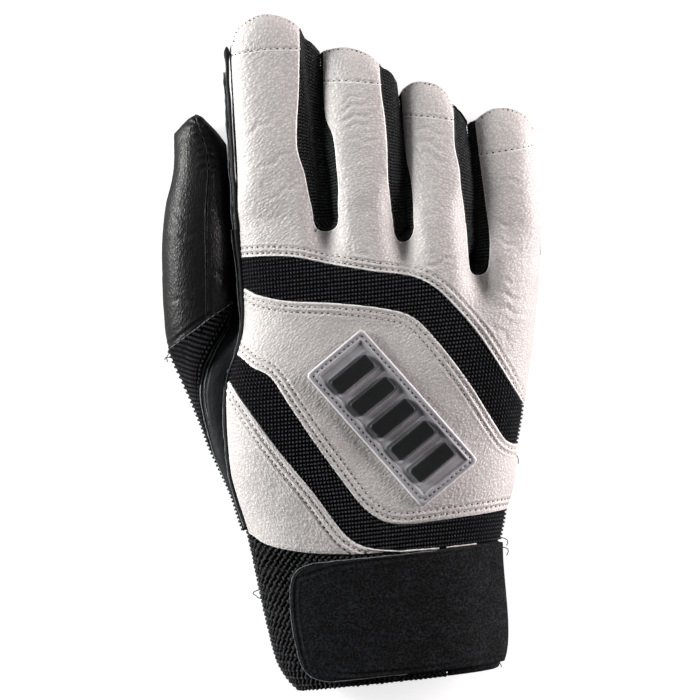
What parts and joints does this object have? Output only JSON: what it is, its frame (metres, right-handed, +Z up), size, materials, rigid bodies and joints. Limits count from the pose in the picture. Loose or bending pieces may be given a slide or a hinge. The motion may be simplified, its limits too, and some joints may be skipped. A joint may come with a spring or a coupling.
{
  "type": "batting glove",
  "caption": "Right-hand batting glove lying on its palm: sewn leather panels, stretch bands, knit finger walls and a wrist strap that peels open.",
  "frame": {"origin": "middle of the footprint, on the surface that the palm lies on", "axes": "+X to the little finger, +Y from the wrist to the fingertips, +Z up through the back of the hand"},
  "size_m": [0.1297, 0.2258, 0.0378],
  "materials": {
    "white_leather": "satin, fine pebbled grain",
    "black_leather": "satin, smooth grain",
    "stretch_webbing": "matte ribbed knit",
    "terry_knit": "matte looped knit",
    "strap_suede": "matte brushed cloth",
    "loop_pile": "matte loop pile",
    "hook_tape": "moulded hooks",
    "grey_rubber": "milky, satin",
    "black_rubber": "satin"
  },
  "bodies": {
    "hand": {"knuckle_panel": "white_leather", "upper_stretch_band": "stretch_webbing", "centre_panel": "white_leather", "lower_stretch_band": "stretch_webbing", "corner_panel": "white_leather", "crotch_wall_1": "stretch_webbing", "crotch_wall_2": "stretch_webbing", "crotch_wall_3": "stretch_webbing", "thumb_gusset": "stretch_webbing", "side_strip": "black_leather", "palm_panel": "black_leather", "cuff_elastic": "terry_knit", "cuff_outer": "strap_suede", "cuff_heel": "strap_suede", "loop_patch": "loop_pile", "badge_plate": "grey_rubber", "badge_bar_1": "black_rubber", "badge_bar_2": "black_rubber", "badge_bar_3": "black_rubber", "badge_bar_4": "black_rubber", "badge_bar_5": "black_rubber"},
    "strap": {"hook_patch": "hook_tape", "wrist_strap": "strap_suede"},
    "index": {"index_back": "white_leather", "index_tip": "white_leather", "index_front": "black_leather", "index_wall_outer_side": "stretch_webbing"},
    "middle": {"middle_back": "white_leather", "middle_tip": "white_leather", "middle_front": "black_leather", "middle_wall_thumb_side": "stretch_webbing", "middle_wall_outer_side": "stretch_webbing"},
    "ring": {"ring_back": "white_leather", "ring_tip": "white_leather", "ring_front": "black_leather", "ring_wall_thumb_side": "stretch_webbing", "ring_wall_outer_side": "stretch_webbing"},
    "little": {"little_back": "white_leather", "little_tip": "white_leather", "little_front": "black_leather", "little_wall_thumb_side": "stretch_webbing"},
    "thumb": {"thumb_outer": "black_leather", "thumb_inner": "black_leather"}
  },
  "joints": [
    {"name": "index_curl", "type": "hinge", "parent": "hand", "child": "index", "pos_m": [-0.0215, 0.042, 0.0085], "axis": [-1, 0, 0], "range_deg": [0, 75]},
    {"name": "middle_curl", "type": "hinge", "parent": "hand", "child": "middle", "pos_m": [0.0068, 0.042, 0.0085], "axis": [-1, 0, 0], "range_deg": [0, 75]},
    {"name": "ring_curl", "type": "hinge", "parent": "hand", "child": "ring", "pos_m": [0.0303, 0.036, 0.008], "axis": [-1, 0, 0], "range_deg": [0, 75]},
    {"name": "little_curl", "type": "hinge", "parent": "hand", "child": "little", "pos_m": [0.0525, 0.023, 0.0072], "axis": [-1, 0, 0], "range_deg": [0, 75]},
    {"name": "thumb_spread", "type": "hinge", "parent": "hand", "child": "thumb", "pos_m": [-0.0652, 0.0036, 0.01], "axis": [0, 0, 1], "range_deg": [0, 45]},
    {"name": "strap_peel", "type": "hinge", "parent": "hand", "child": "strap", "pos_m": [0.0417, -0.091, 0.0206], "axis": [0, 1, 0], "range_deg": [0, 150]}
  ]
}
